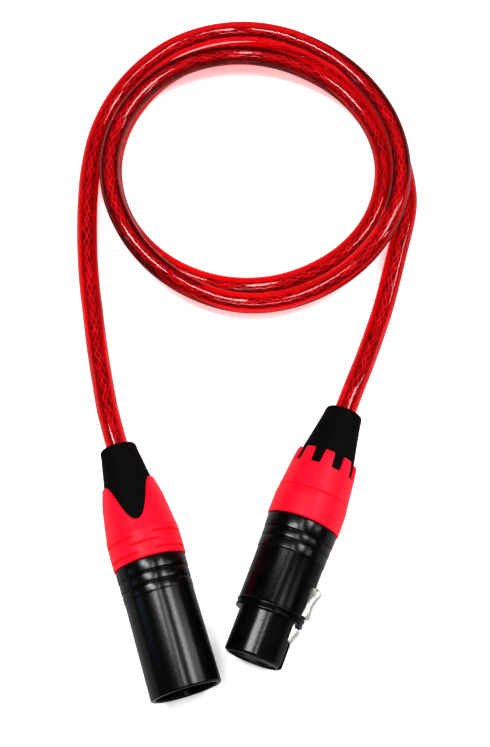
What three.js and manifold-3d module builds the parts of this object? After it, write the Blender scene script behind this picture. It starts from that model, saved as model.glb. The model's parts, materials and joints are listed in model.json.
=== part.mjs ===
// A short microphone cable laid in an open coil: a clear red jacketed cable with a three-pin
// male connector on one end and a three-hole female connector with a push latch on the other.
//
// Frame: millimetres, +Z up, floor at z = 0. The origin is on the floor under the middle of the
// two connectors. The coil lies on the +Y side of them.
//
// Each connector is built in its own group. Its local Y axis is the connector's axis, running
// from the mating end (y = 0) towards the cable, and its local Z is up. Angles around that axis
// are measured from up towards local +X.

import * as THREE from 'three';
import { mergeVertices } from 'three/addons/utils/BufferGeometryUtils.js';
import Module from 'manifold-3d';

const wasm = await Module();
wasm.setup();

// ---------------------------------------------------------------- driving dimensions

const GAP = 0.3; // clearance between neighbouring pieces
const ROUND = 40; // facets around the housings
const SMALL_ROUND = 16; // facets around pins, sockets and wires

const CABLE_RADIUS = 3.05;
const CABLE_SIDES = 10;
const AXIS_HEIGHT = 10.15; // height of both connectors' axes: they lie on their collars

const MALE_MOUTH = [-11.2, -38.1]; // centre of the open mouth
const MALE_HEADING = 16.9; // degrees from +Y towards -X
const MALE_LENGTH = 69.4;

const FEMALE_TIP = [5.5, -30.9]; // the axis, just in front of the nose
const FEMALE_HEADING = -20.8;
const FEMALE_LENGTH = 74.4;

const MOUTH_RADIUS = 8.2; // bore of the male shell, which takes a 15.9 mm nose
const NOSE_RADIUS = 7.93;
const NOSE_FRONT = 1.2;
const NOSE_SHOULDER = 13.3;
const CONTACT_CIRCLE = 4.0; // radius of the circle that the three contacts stand on
const PIN_RADIUS = 1.2;
const SOCKET_BORE = 1.25;
const CUP_RADIUS = 1.5;
const CUP_BORE = 1.0;
const CONTACT_ANGLES = [60, -60, 180]; // contacts 1, 2 and 3, measured from the key

const MALE_KEY_ANGLE = 90;
const FEMALE_KEY_ANGLE = 80; // the latch and keyway stand 10 degrees above the horizontal

const NECK_RADIUS = 8.0; // the shells' rear necks, which the collars screw onto
const COLLAR_WALL = 1.5;
const CUTTER_RADIUS = 14; // cutting solids reach past every connector's outside
const BOOT_BORE = CABLE_RADIUS + GAP;
const CHUCK_FRONT_RADIUS = 5.9;
const CHUCK_REAR_RADIUS = 4.6;
const CHUCK_LENGTH = 12.6;

const COIL_CENTRE = [4.3, 121.5];
const COIL_OUTER = 50.6;
const COIL_INNER = 36.5;
const COIL_HEIGHT = 13.2;

// The cable's centreline from each boot to the coil, chosen by hand.
const MALE_LEG = [
  [-31.4, 28.3, 10.15], [-33.0, 33.7, 10.15], [-34.6, 39.4, 9.8], [-36.0, 45.7, 8.4],
  [-37.4, 52.4, 6.4], [-38.8, 59.5, 4.6], [-40.0, 66.6, 3.6], [-41.0, 73.2, 3.15],
  [-42.0, 79.7, 3.1], [-42.8, 86.3, 3.1], [-43.4, 93.0, 3.1], [-43.6, 96.2, 3.1],
];
const FEMALE_LEG = [
  [31.9, 38.7, 10.15], [33.6, 43.1, 10.15], [35.5, 47.9, 9.8], [37.6, 53.2, 8.6],
  [39.8, 59.2, 6.5], [42.0, 65.5, 4.7], [44.1, 71.6, 3.6], [45.9, 77.6, 3.15],
  [47.6, 83.9, 3.1], [49.3, 90.4, 3.1], [49.8, 92.3, 3.1],
];

// ---------------------------------------------------------------- materials

function finish(colour, roughness, metalness) {
  return new THREE.MeshStandardMaterial({ color: colour, roughness, metalness });
}

const redJacket = finish(0xc8101c, 0.15, 0.0);
const redPlastic = finish(0xf6283a, 0.45, 0.0);
const blackShell = finish(0x141413, 0.3, 0.6);
const blackRubber = finish(0x1b1b19, 0.75, 0.0);
const blackPlastic = finish(0x1a1a1a, 0.5, 0.0);
const whitePlastic = finish(0xe6e3da, 0.5, 0.0);
const chrome = finish(0xd8d8d4, 0.15, 1.0);
const silver = finish(0xc9c9c5, 0.25, 1.0);
const steel = finish(0x9a9a98, 0.35, 1.0);
const redWire = finish(0xb01818, 0.5, 0.0);
const whiteWire = finish(0xe8e8e2, 0.5, 0.0);
const copper = finish(0xb87333, 0.35, 1.0);

// ---------------------------------------------------------------- solids and booleans

// A solid turned around the local Y axis. Each point is [radius, y], in the order that goes up
// the outside and down the inside.
function turned(points, facets = ROUND) {
  const profile = points.map(([radius, y]) => new THREE.Vector2(radius, y));
  return new THREE.LatheGeometry(profile, facets);
}

// A ring or tube: the outside upwards, then the inside downwards, closed on its first point.
function turnedRing(outside, inside, facets = ROUND) {
  return turned([...outside, ...inside, outside[0]], facets);
}

function toSolid(geometry) {
  const bare = geometry.index ? geometry.toNonIndexed() : geometry.clone();
  bare.deleteAttribute('normal');
  bare.deleteAttribute('uv');
  const merged = mergeVertices(bare, 1e-4);
  return new wasm.Manifold(new wasm.Mesh({
    numProp: 3,
    vertProperties: new Float32Array(merged.attributes.position.array),
    triVerts: new Uint32Array(merged.index.array),
  }));
}

function toGeometry(solid) {
  const mesh = solid.getMesh();
  const geometry = new THREE.BufferGeometry();
  geometry.setAttribute('position', new THREE.BufferAttribute(new Float32Array(mesh.vertProperties), 3));
  geometry.setIndex(new THREE.BufferAttribute(new Uint32Array(mesh.triVerts), 1));
  return geometry;
}

function cut(solid, tools) {
  return tools.reduce((result, tool) => result.subtract(toSolid(tool)), solid);
}

// A box standing off the axis at an angle: width across, y along the axis, radius outwards.
function radialBox(angle, width, yRange, radiusRange) {
  const box = new THREE.BoxGeometry(width, yRange[1] - yRange[0], radiusRange[1] - radiusRange[0]);
  box.translate(0, (yRange[0] + yRange[1]) / 2, (radiusRange[0] + radiusRange[1]) / 2);
  box.rotateY(THREE.MathUtils.degToRad(angle));
  return box;
}

// A solid that tapers along the axis: half widths at both ends of yRange, radius outwards.
function radialWedge(angle, halfWidths, yRange, radiusRange) {
  const [front, rear] = halfWidths;
  const shape = new THREE.Shape([
    new THREE.Vector2(-front, yRange[0]), new THREE.Vector2(front, yRange[0]),
    new THREE.Vector2(rear, yRange[1]), new THREE.Vector2(-rear, yRange[1]),
  ]);
  const wedge = new THREE.ExtrudeGeometry(
    shape, { depth: radiusRange[1] - radiusRange[0], bevelEnabled: false });
  wedge.translate(0, 0, radiusRange[0]);
  wedge.rotateY(THREE.MathUtils.degToRad(angle));
  return wedge;
}

// A side outline of [y, radius] points, given a width across and turned to an angle.
function radialPlate(angle, width, outline) {
  const shape = new THREE.Shape(outline.map(([y, radius]) => new THREE.Vector2(y, radius)));
  const plate = new THREE.ExtrudeGeometry(shape, { depth: width, bevelEnabled: false });
  plate.translate(0, 0, -width / 2);
  // The outline's first axis becomes local Y and its second local Z.
  plate.applyMatrix4(new THREE.Matrix4().makeBasis(
    new THREE.Vector3(0, 1, 0), new THREE.Vector3(0, 0, 1), new THREE.Vector3(1, 0, 0)));
  plate.rotateY(THREE.MathUtils.degToRad(angle));
  return plate;
}

// A round bar across the axis, at a height along it and a radius from it.
function crossBar(angle, radius, length, y, standOff) {
  const bar = new THREE.CylinderGeometry(radius, radius, length, SMALL_ROUND);
  bar.rotateZ(Math.PI / 2);
  bar.translate(0, y, standOff);
  bar.rotateY(THREE.MathUtils.degToRad(angle));
  return bar;
}

// A piece turned around an axis that stands off the connector's own, at one contact's place.
function atContact(geometry, angle) {
  const turn = THREE.MathUtils.degToRad(angle);
  return geometry.translate(CONTACT_CIRCLE * Math.sin(turn), 0, CONTACT_CIRCLE * Math.cos(turn));
}

function rod(radius, y0, y1, facets = SMALL_ROUND) {
  return turned([[0, y0], [radius, y0], [radius, y1], [0, y1]], facets);
}

// A round tube or wire along a route.
function alongRoute(points, radius, sides, steps) {
  const route = new THREE.CatmullRomCurve3(points.map((point) => new THREE.Vector3(...point)));
  const outline = [];
  for (let side = 0; side < sides; side += 1) {
    const turn = (side / sides) * 2 * Math.PI;
    outline.push(new THREE.Vector2(radius * Math.cos(turn), radius * Math.sin(turn)));
  }
  const section = new THREE.Shape(outline);
  return new THREE.ExtrudeGeometry(section, { steps, extrudePath: route, bevelEnabled: false });
}

// ---------------------------------------------------------------- the scene graph

const cable = new THREE.Group();

function place(parent, name, piece, material) {
  const geometry = piece.isBufferGeometry ? piece : toGeometry(piece);
  const mesh = new THREE.Mesh(geometry, material);
  mesh.name = name;
  parent.add(mesh);
  return mesh;
}

function connectorGroup([x, y], heading) {
  const group = new THREE.Group();
  group.position.set(x, y, AXIS_HEIGHT);
  group.rotation.z = THREE.MathUtils.degToRad(heading);
  cable.add(group);
  return group;
}

// ---------------------------------------------------------------- pieces that both ends share

// The crown-shaped region below a collar's rear edge. edge(angle) gives the edge's y. The edge is
// raised and lowered from the core outwards, and the core lies inside every sleeve's bore.
function crown(edge, bottom, facets) {
  const core = 3;
  const middle = edge(0);
  const halfway = (bottom + middle) / 2;
  const region = turned([
    [0, bottom], [CUTTER_RADIUS, bottom], [CUTTER_RADIUS, middle], [core, middle], [0, middle],
  ], facets);
  const position = region.attributes.position;
  for (let i = 0; i < position.count; i += 1) {
    const x = position.getX(i);
    const z = position.getZ(i);
    if (position.getY(i) > halfway && Math.hypot(x, z) > core / 2) {
      position.setY(i, edge(Math.atan2(x, z)));
    }
  }
  return region;
}

// The same edge moved outwards by the gap, both along the axis and around it.
function widened(edge, radius) {
  const sideways = GAP / radius;
  return (angle) => Math.max(edge(angle - sideways), edge(angle), edge(angle + sideways)) + GAP;
}

// A collar and the boot whose fingers fill the spaces in the collar's rear edge.
function backshell(group, prefix, build) {
  const { collarOutside, collarInside, bootOutside, bootFront, length, edge, facets } = build;
  const collarSleeve = toSolid(turnedRing(collarOutside, collarInside, facets));
  const collar = collarSleeve.intersect(toSolid(crown(edge, collarOutside[0][1] - 1, facets)));
  place(group, `${prefix}_collar`, collar, redPlastic);

  // The boot is its own solid of revolution, less the space that the collar's fingers take.
  const chuckEnd = bootFront + GAP + CHUCK_LENGTH;
  const bootInside = [
    [BOOT_BORE, length], [BOOT_BORE, chuckEnd + GAP],
    [CHUCK_REAR_RADIUS + GAP, chuckEnd + GAP], [CHUCK_FRONT_RADIUS + GAP, bootFront],
  ];
  const bootBody = toSolid(turnedRing(bootOutside, bootInside, facets));
  const roomInside = collarInside.map(([radius, y]) => [radius - GAP, Math.max(y, bootFront - 1)]);
  const roomTop = roomInside[0][1];
  const roomFloor = roomInside[roomInside.length - 1][1];
  const roomOutside = [[CUTTER_RADIUS, roomFloor], [CUTTER_RADIUS, roomTop]];
  const sleeveRoom = toSolid(turnedRing(roomOutside, roomInside, facets));
  const crownRoom = toSolid(crown(widened(edge, NECK_RADIUS), bootFront - 2, facets));
  place(group, `${prefix}_boot`, bootBody.subtract(sleeveRoom.intersect(crownRoom)), blackRubber);
}

// The slotted cone that grips the cable when the collar is screwed up.
function chuck(group, prefix, front) {
  const slots = 4;
  const slotWidth = 1.0;
  const solidLength = 5; // the slots start behind a whole ring
  const end = front + CHUCK_LENGTH;
  const cone = toSolid(turnedRing(
    [[CHUCK_FRONT_RADIUS - 0.4, front], [CHUCK_FRONT_RADIUS, front + 0.5], [CHUCK_REAR_RADIUS, end]],
    [[BOOT_BORE, end], [BOOT_BORE, front]]));
  const tools = [];
  for (let slot = 0; slot < slots; slot += 1) {
    tools.push(radialBox((slot * 360) / slots, slotWidth, [front + solidLength, end + 1], [1, CUTTER_RADIUS]));
  }
  place(group, `${prefix}_chuck`, cut(cone, tools), whitePlastic);
}

// The cable's own end inside the connector, and the three conductors to the solder cups.
function wiring(group, prefix, keyAngle, jacketEnd, cupEnd, boot) {
  place(group, `${prefix}_cable_end`, rod(CABLE_RADIUS, jacketEnd, boot - GAP), redJacket);
  const wireRadius = 0.7;
  const wireSides = 8;
  const wireSteps = 10;
  const fanRadius = 1.3; // where the wires leave the jacket
  const finishes = [copper, redWire, whiteWire];
  CONTACT_ANGLES.forEach((offset, index) => {
    const turn = THREE.MathUtils.degToRad(keyAngle + offset);
    const ray = (radius, y) => [radius * Math.sin(turn), y, radius * Math.cos(turn)];
    const start = jacketEnd - GAP;
    const end = cupEnd + GAP;
    const route = [
      ray(fanRadius, start), ray(fanRadius + 0.2, start - 2),
      ray(CONTACT_CIRCLE - 0.2, end + 4), ray(CONTACT_CIRCLE, end),
    ];
    const wire = alongRoute(route, wireRadius, wireSides, wireSteps);
    place(group, `${prefix}_wire_${index + 1}`, wire, finishes[index]);
  });
}

// A solder cup's open side, cut away so that the wire can be laid in.
function cupOpening(angle, yRange) {
  const lip = 0.35; // the cup's wall stands this far past its middle
  return radialBox(angle, 2 * CUP_RADIUS + 1, yRange, [CONTACT_CIRCLE + lip, CUTTER_RADIUS]);
}

// ---------------------------------------------------------------- male connector

function maleShell(group) {
  const collarEdge = 35.1;
  const neckEnd = 41;
  const outside = [
    [9.25, 0], [9.55, 0.35], [9.4, collarEdge - 9], [9.55, collarEdge - 8.7],
    [9.55, collarEdge - 6.8], [9.25, collarEdge - 6.6], [9.25, collarEdge - 6.3], [9.6, collarEdge - 6.1],
    [9.6, collarEdge - 3.8], [9.3, collarEdge - 3.6], [9.3, collarEdge - 3.3], [9.7, collarEdge - 3.1],
    [9.7, collarEdge], [NECK_RADIUS, collarEdge], [NECK_RADIUS, neckEnd],
  ];
  const insertSeat = 22;
  const inside = [
    [6.7, neckEnd], [6.7, insertSeat], [MOUTH_RADIUS, insertSeat], [MOUTH_RADIUS, 0.3], [8.5, 0],
  ];
  const tube = toSolid(turnedRing(outside, inside));
  const ridge = toSolid(radialBox(MALE_KEY_ANGLE, 2.2, [4.4, 13.6], [7.3, 8.8]));
  const latchPocket = radialBox(MALE_KEY_ANGLE, 4.2, [1.3, 3.8], [7.5, 9.0]);
  place(group, 'male_shell', cut(tube.add(ridge), [latchPocket]), blackShell);
}

function maleInsert(group) {
  const front = 14;
  const back = 21.7;
  const disc = toSolid(rod(MOUTH_RADIUS - GAP, front, back, ROUND));
  const holes = CONTACT_ANGLES.map((offset) =>
    atContact(rod(PIN_RADIUS + GAP, front - 1, back + 1), MALE_KEY_ANGLE + offset));
  place(group, 'male_insert', cut(disc, holes), blackPlastic);
}

function malePins(group) {
  const tip = 2.9;
  const back = 22;
  const end = 27;
  CONTACT_ANGLES.forEach((offset, index) => {
    const angle = MALE_KEY_ANGLE + offset;
    const pin = toSolid(atContact(turned([
      [0, tip], [0.7, tip + 0.15], [1.1, tip + 0.7], [PIN_RADIUS, tip + 1.2], [PIN_RADIUS, back],
      [CUP_RADIUS, back], [CUP_RADIUS, end], [CUP_BORE, end], [CUP_BORE, back + 1], [0, back + 1],
    ], SMALL_ROUND), angle));
    place(group, `male_pin_${index + 1}`, cut(pin, [cupOpening(angle, [back + 1.6, end + 1])]), silver);
  });
}

function maleBackshell(group) {
  const lower = 35.4;
  const tip = 58.4;
  const valleyDepth = 12.4;
  const bootFront = 42.4;
  const outside = [
    [9.8, lower], [10.0, lower + 0.3], [10.0, lower + 7.9], [9.66, 45.2], [9.2, 48.8],
    [8.65, 52.7], [8.25, 54.7], [7.7, 56.8], [7.15, tip + 0.5],
  ];
  const inside = [
    [7.15 - COLLAR_WALL, tip + 0.5], [8.25 - COLLAR_WALL, 54.7], [9.2 - COLLAR_WALL, 48.8],
    [NECK_RADIUS + GAP, 42.1], [NECK_RADIUS + GAP, lower],
  ];
  const bootOutside = [
    [NECK_RADIUS, bootFront], [8.95, 44], [8.5, 48], [7.5, 53.9], [6.65, 58.8], [6.25, 60.9],
    [5.6, 65.1], [5.25, 67.1], [5.05, 68.6], [4.4, MALE_LENGTH],
  ];
  backshell(group, 'male', {
    collarOutside: outside,
    collarInside: inside,
    bootOutside,
    bootFront,
    length: MALE_LENGTH,
    edge: (angle) => tip - valleyDepth * Math.abs(Math.cos(angle)) ** 5.5,
    facets: 48,
  });
}

// ---------------------------------------------------------------- female connector

const LATCH_PIVOT = { y: 26.8, radius: 7.3 };
const LATCH_PIN_RADIUS = 0.5;
const LATCH_HOLE_RADIUS = 0.8;
const LATCH_ARM_WIDTH = 4.2;
const LATCH_TAB_WIDTHS = [5.0, 2.4]; // at its front and rear
const LATCH_TAB_ENDS = [16.0, 24.4];
const FEMALE_COLLAR_EDGE = 39.8;

function femaleShell(group) {
  const edge = FEMALE_COLLAR_EDGE - GAP;
  const outside = [
    [7.4, NOSE_FRONT], [NOSE_RADIUS, NOSE_FRONT + 0.5], [NOSE_RADIUS, NOSE_SHOULDER],
    [9.35, NOSE_SHOULDER], [9.35, 14.1],
    [9.1, 14.3], [9.1, 14.6], [9.45, 14.8], [9.45, 15.5], [9.25, 15.7], [9.3, edge - 9.4],
    [9.5, edge - 9.1], [9.5, edge - 6.8], [9.2, edge - 6.6], [9.2, edge - 6.3], [9.55, edge - 6.1],
    [9.6, edge - 4.2], [9.3, edge - 4.0], [9.3, edge - 3.7], [9.7, edge - 3.5],
    [9.85, edge], [NECK_RADIUS, edge], [NECK_RADIUS, 48.2],
  ];
  const inside = [[6.0, 48.2], [6.0, 22], [6.6, 22], [6.6, NOSE_FRONT]];
  const body = toSolid(turnedRing(outside, inside));
  const keyway = radialBox(FEMALE_KEY_ANGLE, 2.8, [-1, NOSE_SHOULDER], [7.0, 9]);
  const armSlot = radialBox(FEMALE_KEY_ANGLE, LATCH_ARM_WIDTH + 2 * GAP, [8.3, 25], [5, 8.6]);
  const [front, rear] = LATCH_TAB_ENDS;
  const halfWidths = LATCH_TAB_WIDTHS.map((width) => width / 2 + GAP + 0.05);
  const tabSlot = radialWedge(FEMALE_KEY_ANGLE, halfWidths, [front - 0.4, rear + 0.4], [5, 12]);
  const pivotPocket = radialBox(FEMALE_KEY_ANGLE, LATCH_ARM_WIDTH + 2 * GAP, [25, 28.4], [5, 8.5]);
  const pinHole = crossBar(FEMALE_KEY_ANGLE, LATCH_HOLE_RADIUS, 9, LATCH_PIVOT.y, LATCH_PIVOT.radius);
  place(group, 'female_shell', cut(body, [keyway, armSlot, tabSlot, pivotPocket, pinHole]), blackShell);
}

function femaleInsert(group) {
  const front = NOSE_FRONT + 0.5;
  const back = 21.7;
  const core = toSolid(rod(6.6 - GAP, front, back, ROUND));
  const tools = CONTACT_ANGLES.map((offset) =>
    atContact(rod(CUP_RADIUS + GAP, front - 1, back + 1), FEMALE_KEY_ANGLE + offset));
  tools.push(radialBox(FEMALE_KEY_ANGLE, LATCH_ARM_WIDTH + 2 * GAP, [8, back + 1], [5.1, 8]));
  place(group, 'female_insert', cut(core, tools), blackPlastic);
}

function femaleSockets(group) {
  const front = NOSE_FRONT + 1.2;
  const web = 15;
  const cup = 21.5;
  const end = 26.5;
  CONTACT_ANGLES.forEach((offset, index) => {
    const angle = FEMALE_KEY_ANGLE + offset;
    const socket = toSolid(atContact(turned([
      [0, web], [SOCKET_BORE, web], [SOCKET_BORE, front], [CUP_RADIUS, front], [CUP_RADIUS, end],
      [CUP_BORE, end], [CUP_BORE, cup], [0, cup],
    ], SMALL_ROUND), angle));
    place(group, `female_socket_${index + 1}`, cut(socket, [cupOpening(angle, [cup + 0.6, end + 1])]), silver);
  });
}

// The latch lever: a hook at the nose, an arm in the keyway and a thumb tab on the barrel.
function femaleLatch(group) {
  const { y, radius } = LATCH_PIVOT;
  const eye = 0.95;
  const arm = toSolid(radialPlate(FEMALE_KEY_ANGLE, LATCH_ARM_WIDTH, [
    [8.6, 7.0], [y, radius - eye + 0.25], [y + 0.7, radius - 0.6], [y + eye, radius], [y + 0.6, radius + 0.6],
    [y, radius + 0.85], [24, 8.0], [12.4, 7.9], [12.4, 9.0], [12.0, 9.0], [8.6, 7.7],
  ]));
  const [front, rear] = LATCH_TAB_ENDS;
  const side = toSolid(radialPlate(FEMALE_KEY_ANGLE, LATCH_TAB_WIDTHS[0] + 1, [
    [front, 7.6], [rear, 7.6], [rear, 10.2], [rear - 0.3, 10.9], [rear - 0.9, 11.2], [rear - 1.6, 11.2],
    [21.4, 10.5], [19.0, 10.2], [front + 0.6, 10.1], [front, 9.7],
  ]));
  const halfWidths = LATCH_TAB_WIDTHS.map((width) => width / 2);
  const taper = toSolid(radialWedge(FEMALE_KEY_ANGLE, halfWidths, [front, rear], [5, CUTTER_RADIUS]));
  const tab = side.intersect(taper);
  const hole = crossBar(FEMALE_KEY_ANGLE, LATCH_PIN_RADIUS + 0.15, 9, y, radius);
  place(group, 'female_latch', cut(arm.add(tab), [hole]), chrome);
  place(group, 'female_latch_pin', crossBar(FEMALE_KEY_ANGLE, LATCH_PIN_RADIUS, 7.4, y, radius), steel);
  place(group, 'female_latch_spring', radialPlate(FEMALE_KEY_ANGLE, 2.2, [
    [12.6, 5.4], [14.0, 5.4], [19.0, 6.4], [20.6, 6.4], [20.6, 6.65], [18.9, 6.65], [13.9, 5.65], [12.6, 5.65],
  ]), steel);
}

function femaleColourRing(group) {
  const seam = 48.0;
  place(group, 'female_colour_ring', turnedRing(
    [[9.95, FEMALE_COLLAR_EDGE], [10.15, FEMALE_COLLAR_EDGE + 0.3], [10.15, 46.0], [9.95, seam]],
    [[NECK_RADIUS + GAP, seam], [NECK_RADIUS + GAP, FEMALE_COLLAR_EDGE]]), redPlastic);
}

// The height of the toothed edge at an angle, from 0 in a gap to 1 on a tooth.
function toothWave(angle, teeth) {
  const steepness = 2.2;
  const ramp = THREE.MathUtils.clamp(0.52 + steepness * Math.cos(teeth * angle), 0, 1);
  return ramp * ramp * (3 - 2 * ramp);
}

function femaleBackshell(group) {
  const teeth = 9;
  const firstTooth = THREE.MathUtils.degToRad(3.5);
  const seam = 48.3;
  const valley = 55.6;
  const tip = 60.0;
  const outside = [[9.95, seam], [9.62, 51], [9.2, 55.3], [9.0, 57.4], [8.65, 59.6], [8.3, tip + 0.5]];
  const inside = [
    [8.4 - COLLAR_WALL, tip + 0.5], [9.2 - COLLAR_WALL, 55.3], [NECK_RADIUS + GAP, 51],
    [NECK_RADIUS + GAP, seam],
  ];
  const bootOutside = [
    [NECK_RADIUS, 49.3], [8.9, 50.7], [8.5, 55.1], [7.4, 61.2], [7.0, 63.4], [6.2, 67.7], [5.5, 71.9],
    [5.2, 73.5], [4.5, FEMALE_LENGTH],
  ];
  backshell(group, 'female', {
    collarOutside: outside,
    collarInside: inside,
    bootOutside,
    bootFront: 49.3,
    length: FEMALE_LENGTH,
    edge: (angle) => valley + (tip - valley) * toothWave(angle - firstTooth, teeth),
    facets: 72,
  });
}

// ---------------------------------------------------------------- the free cable

function coilBundle() {
  const corner = 2.5;
  const outside = [
    [COIL_OUTER - corner, 0], [COIL_OUTER, corner],
    [COIL_OUTER, COIL_HEIGHT - corner], [COIL_OUTER - corner, COIL_HEIGHT],
  ];
  const inside = [
    [COIL_INNER + corner, COIL_HEIGHT], [COIL_INNER, COIL_HEIGHT - corner],
    [COIL_INNER, corner], [COIL_INNER + corner, 0],
  ];
  const ring = place(cable, 'cable_coil', turnedRing(outside, inside, 64), redJacket);
  ring.rotation.x = Math.PI / 2;
  ring.position.set(COIL_CENTRE[0], COIL_CENTRE[1], 0);
}

// ---------------------------------------------------------------- assembly

const male = connectorGroup(MALE_MOUTH, MALE_HEADING);
maleShell(male);
maleInsert(male);
malePins(male);
maleBackshell(male);
chuck(male, 'male', 42.7);
wiring(male, 'male', MALE_KEY_ANGLE, 40.4, 27, MALE_LENGTH);

const female = connectorGroup(FEMALE_TIP, FEMALE_HEADING);
femaleShell(female);
femaleInsert(female);
femaleSockets(female);
femaleLatch(female);
femaleColourRing(female);
femaleBackshell(female);
chuck(female, 'female', 49.6);
wiring(female, 'female', FEMALE_KEY_ANGLE, 46, 26.5, FEMALE_LENGTH);

place(cable, 'cable_male_leg', alongRoute(MALE_LEG, CABLE_RADIUS, CABLE_SIDES, 12), redJacket);
coilBundle();
place(cable, 'cable_female_leg', alongRoute(FEMALE_LEG, CABLE_RADIUS, CABLE_SIDES, 11), redJacket);

export default cable;
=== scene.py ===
"""A short microphone cable laid in an open coil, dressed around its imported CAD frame.

The cable is a clear red jacket over a braided screen. It leaves a male connector, makes two and
a half turns on the floor and goes back into a female connector. Lengths below are millimetres
unless a name says otherwise; build() turns them into metres.
"""

import json
import math

import bmesh
import bpy
import numpy as np
from mathutils import Matrix, Vector


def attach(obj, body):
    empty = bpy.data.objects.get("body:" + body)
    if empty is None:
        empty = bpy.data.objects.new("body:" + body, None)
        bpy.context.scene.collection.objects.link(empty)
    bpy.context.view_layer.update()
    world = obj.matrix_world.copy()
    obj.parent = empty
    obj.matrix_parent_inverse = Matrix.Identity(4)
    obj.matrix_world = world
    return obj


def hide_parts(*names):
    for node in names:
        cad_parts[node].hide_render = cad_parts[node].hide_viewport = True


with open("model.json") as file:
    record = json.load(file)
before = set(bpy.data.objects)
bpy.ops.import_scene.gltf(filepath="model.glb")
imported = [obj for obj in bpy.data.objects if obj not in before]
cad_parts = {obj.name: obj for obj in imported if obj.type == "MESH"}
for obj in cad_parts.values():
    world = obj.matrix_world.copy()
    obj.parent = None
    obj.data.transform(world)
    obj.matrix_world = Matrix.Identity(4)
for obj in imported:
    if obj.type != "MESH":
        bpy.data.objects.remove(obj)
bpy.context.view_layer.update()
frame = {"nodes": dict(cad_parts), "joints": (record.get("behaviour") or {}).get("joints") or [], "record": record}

MM = 0.001
GAP = 0.3  # clearance between neighbouring pieces
COLUMNS = 160  # columns around a housing
EDGE_STEPS = 4  # steps in the rounding of a collar's edges
INNER_ROWS = 12  # rows of faces down the inside of a collar
SHARP_ANGLE = 38.0  # degrees; faces that meet at more than this keep a crisp edge
ROUND_SHARP_ANGLE = 50.0  # the same for boots and contacts
CAST_EDGE = 0.16  # rounding of a die-cast shell's edges

CABLE_RADIUS = 3.05
CORE_RADIUS = 1.0
BRAID_RADIUS = 1.14  # mean radius of the woven screen
BRAID_LIFT = 0.07  # how far a strand rises and dips as it crosses the others
BRAID_STRANDS = 6  # in each direction
BRAID_PITCH = 22.8  # length of cable for one turn of a strand
STRAND_WIDTH = 0.32
STRAND_HEIGHT = 0.1
STRAND_WAVES = [(0.14, 2.3, 1.7), (0.1, 5.1, 2.9)]  # size in radians, rate, and phase by strand

# Places along a connector are measured from its origin towards the cable.
NECK_RADIUS = 8.0  # the shells' plain rear necks
CONTACT_CIRCLE = 4.0  # from a connector's axis to its contacts
CONTACT_OFFSETS = (60, -60, 180)  # degrees round from the key
CONTACT_COLUMNS = 40
MALE_KEY = 90  # degrees from up
MALE_COLLAR_EDGE = 35.1  # where the male shell meets its collar
MALE_COLLAR_FRONT = 35.4
MALE_COLLAR_LEVEL = 44.6  # the collar is the same all the way round up to here
MALE_GROOVES = [(1.7, 14.0, 1), (4.1, 31.0, -1), (6.2, 14.0, 1)]  # place, break in degrees, side
GROOVE_DEPTH = 0.7
GROOVE_HALF_WIDTH = 0.32
GROOVE_FADE = 8.0  # degrees over which a groove runs out
NOSE_FRONT = 1.2  # the female nose's rim
NOSE_SHOULDER = 13.3
SATIN_BARREL = (13.4, 30.2)  # stretch of the female shell with the duller paint
FEMALE_COLLAR_EDGE = 39.5
FEMALE_NECK_END = 48.2
FEMALE_RING = (39.8, 48.05)
FEMALE_COLLAR_FRONT = 48.22
FEMALE_TEETH = 9
FIRST_TOOTH = 3.5  # degrees from up
LATCH_ARM_WIDTH = 4.2
LATCH_TAB_RANGE = (16.0, 24.4)
LATCH_TAB_HALF_WIDTHS = (2.5, 1.2)  # at its front and at its rear
LATCH_PIVOT = (26.8, 7.3)  # along the connector, and off its axis

# The cable's centreline from each boot to the coil, as in the CAD model.
MALE_LEG = [
    (-31.4, 28.3, 10.15), (-33.0, 33.7, 10.15), (-34.6, 39.4, 9.8), (-36.0, 45.7, 8.4),
    (-37.4, 52.4, 6.4), (-38.8, 59.5, 4.6), (-40.0, 66.6, 3.6), (-41.0, 73.2, 3.15),
    (-42.0, 79.7, 3.1), (-42.8, 86.3, 3.1), (-43.4, 93.0, 3.1), (-43.6, 96.2, 3.1),
]
FEMALE_LEG = [
    (31.9, 38.7, 10.15), (33.6, 43.1, 10.15), (35.5, 47.9, 9.8), (37.6, 53.2, 8.6),
    (39.8, 59.2, 6.5), (42.0, 65.5, 4.7), (44.1, 71.6, 3.6), (45.9, 77.6, 3.15),
    (47.6, 83.9, 3.1), (49.3, 90.4, 3.1), (49.8, 92.3, 3.1),
]

# The coil, clockwise from above: (radius, height) of the centreline every 30 degrees, starting
# 210 degrees round from +X. The first turn rides over the later ones.
COIL_CENTRE = (4.3, 121.5)
STATION_STEP = 30
FIRST_STATION = 210
FIRST_TURN = [
    (52.2, 3.1), (47.7, 3.1), (47.0, 3.6), (46.35, 7.0), (46.0, 7.6), (44.1, 9.2), (44.5, 9.8),
    (46.6, 10.0), (48.2, 9.6), (48.0, 7.0), (47.0, 5.2), (45.2, 7.7), (42.9, 9.15), (41.3, 9.2),
]
SECOND_TURN = [
    (39.4, 9.15), (38.0, 8.4), (37.1, 7.6), (37.3, 7.0), (40.0, 5.6), (42.3, 5.5),
    (42.7, 4.3), (41.5, 3.3), (41.1, 3.1), (41.1, 3.1), (41.3, 3.1), (41.2, 3.1),
]
LAST_HALF_TURN = [
    (40.8, 3.1), (41.3, 3.1), (41.55, 3.1), (43.2, 3.1), (45.6, 3.1), (48.0, 3.1), (53.3, 3.1),
]


# ---------------------------------------------------------------- camera, light and floor

EYE = Vector((0.0040, -0.0794, 0.3557))
LOOKED_AT = Vector((0.0040, 0.0543, 0.0))
LIT_PLACE = Vector((0.0, 0.06, 0.0))
WHITE = (1.0, 1.0, 1.0)

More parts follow.
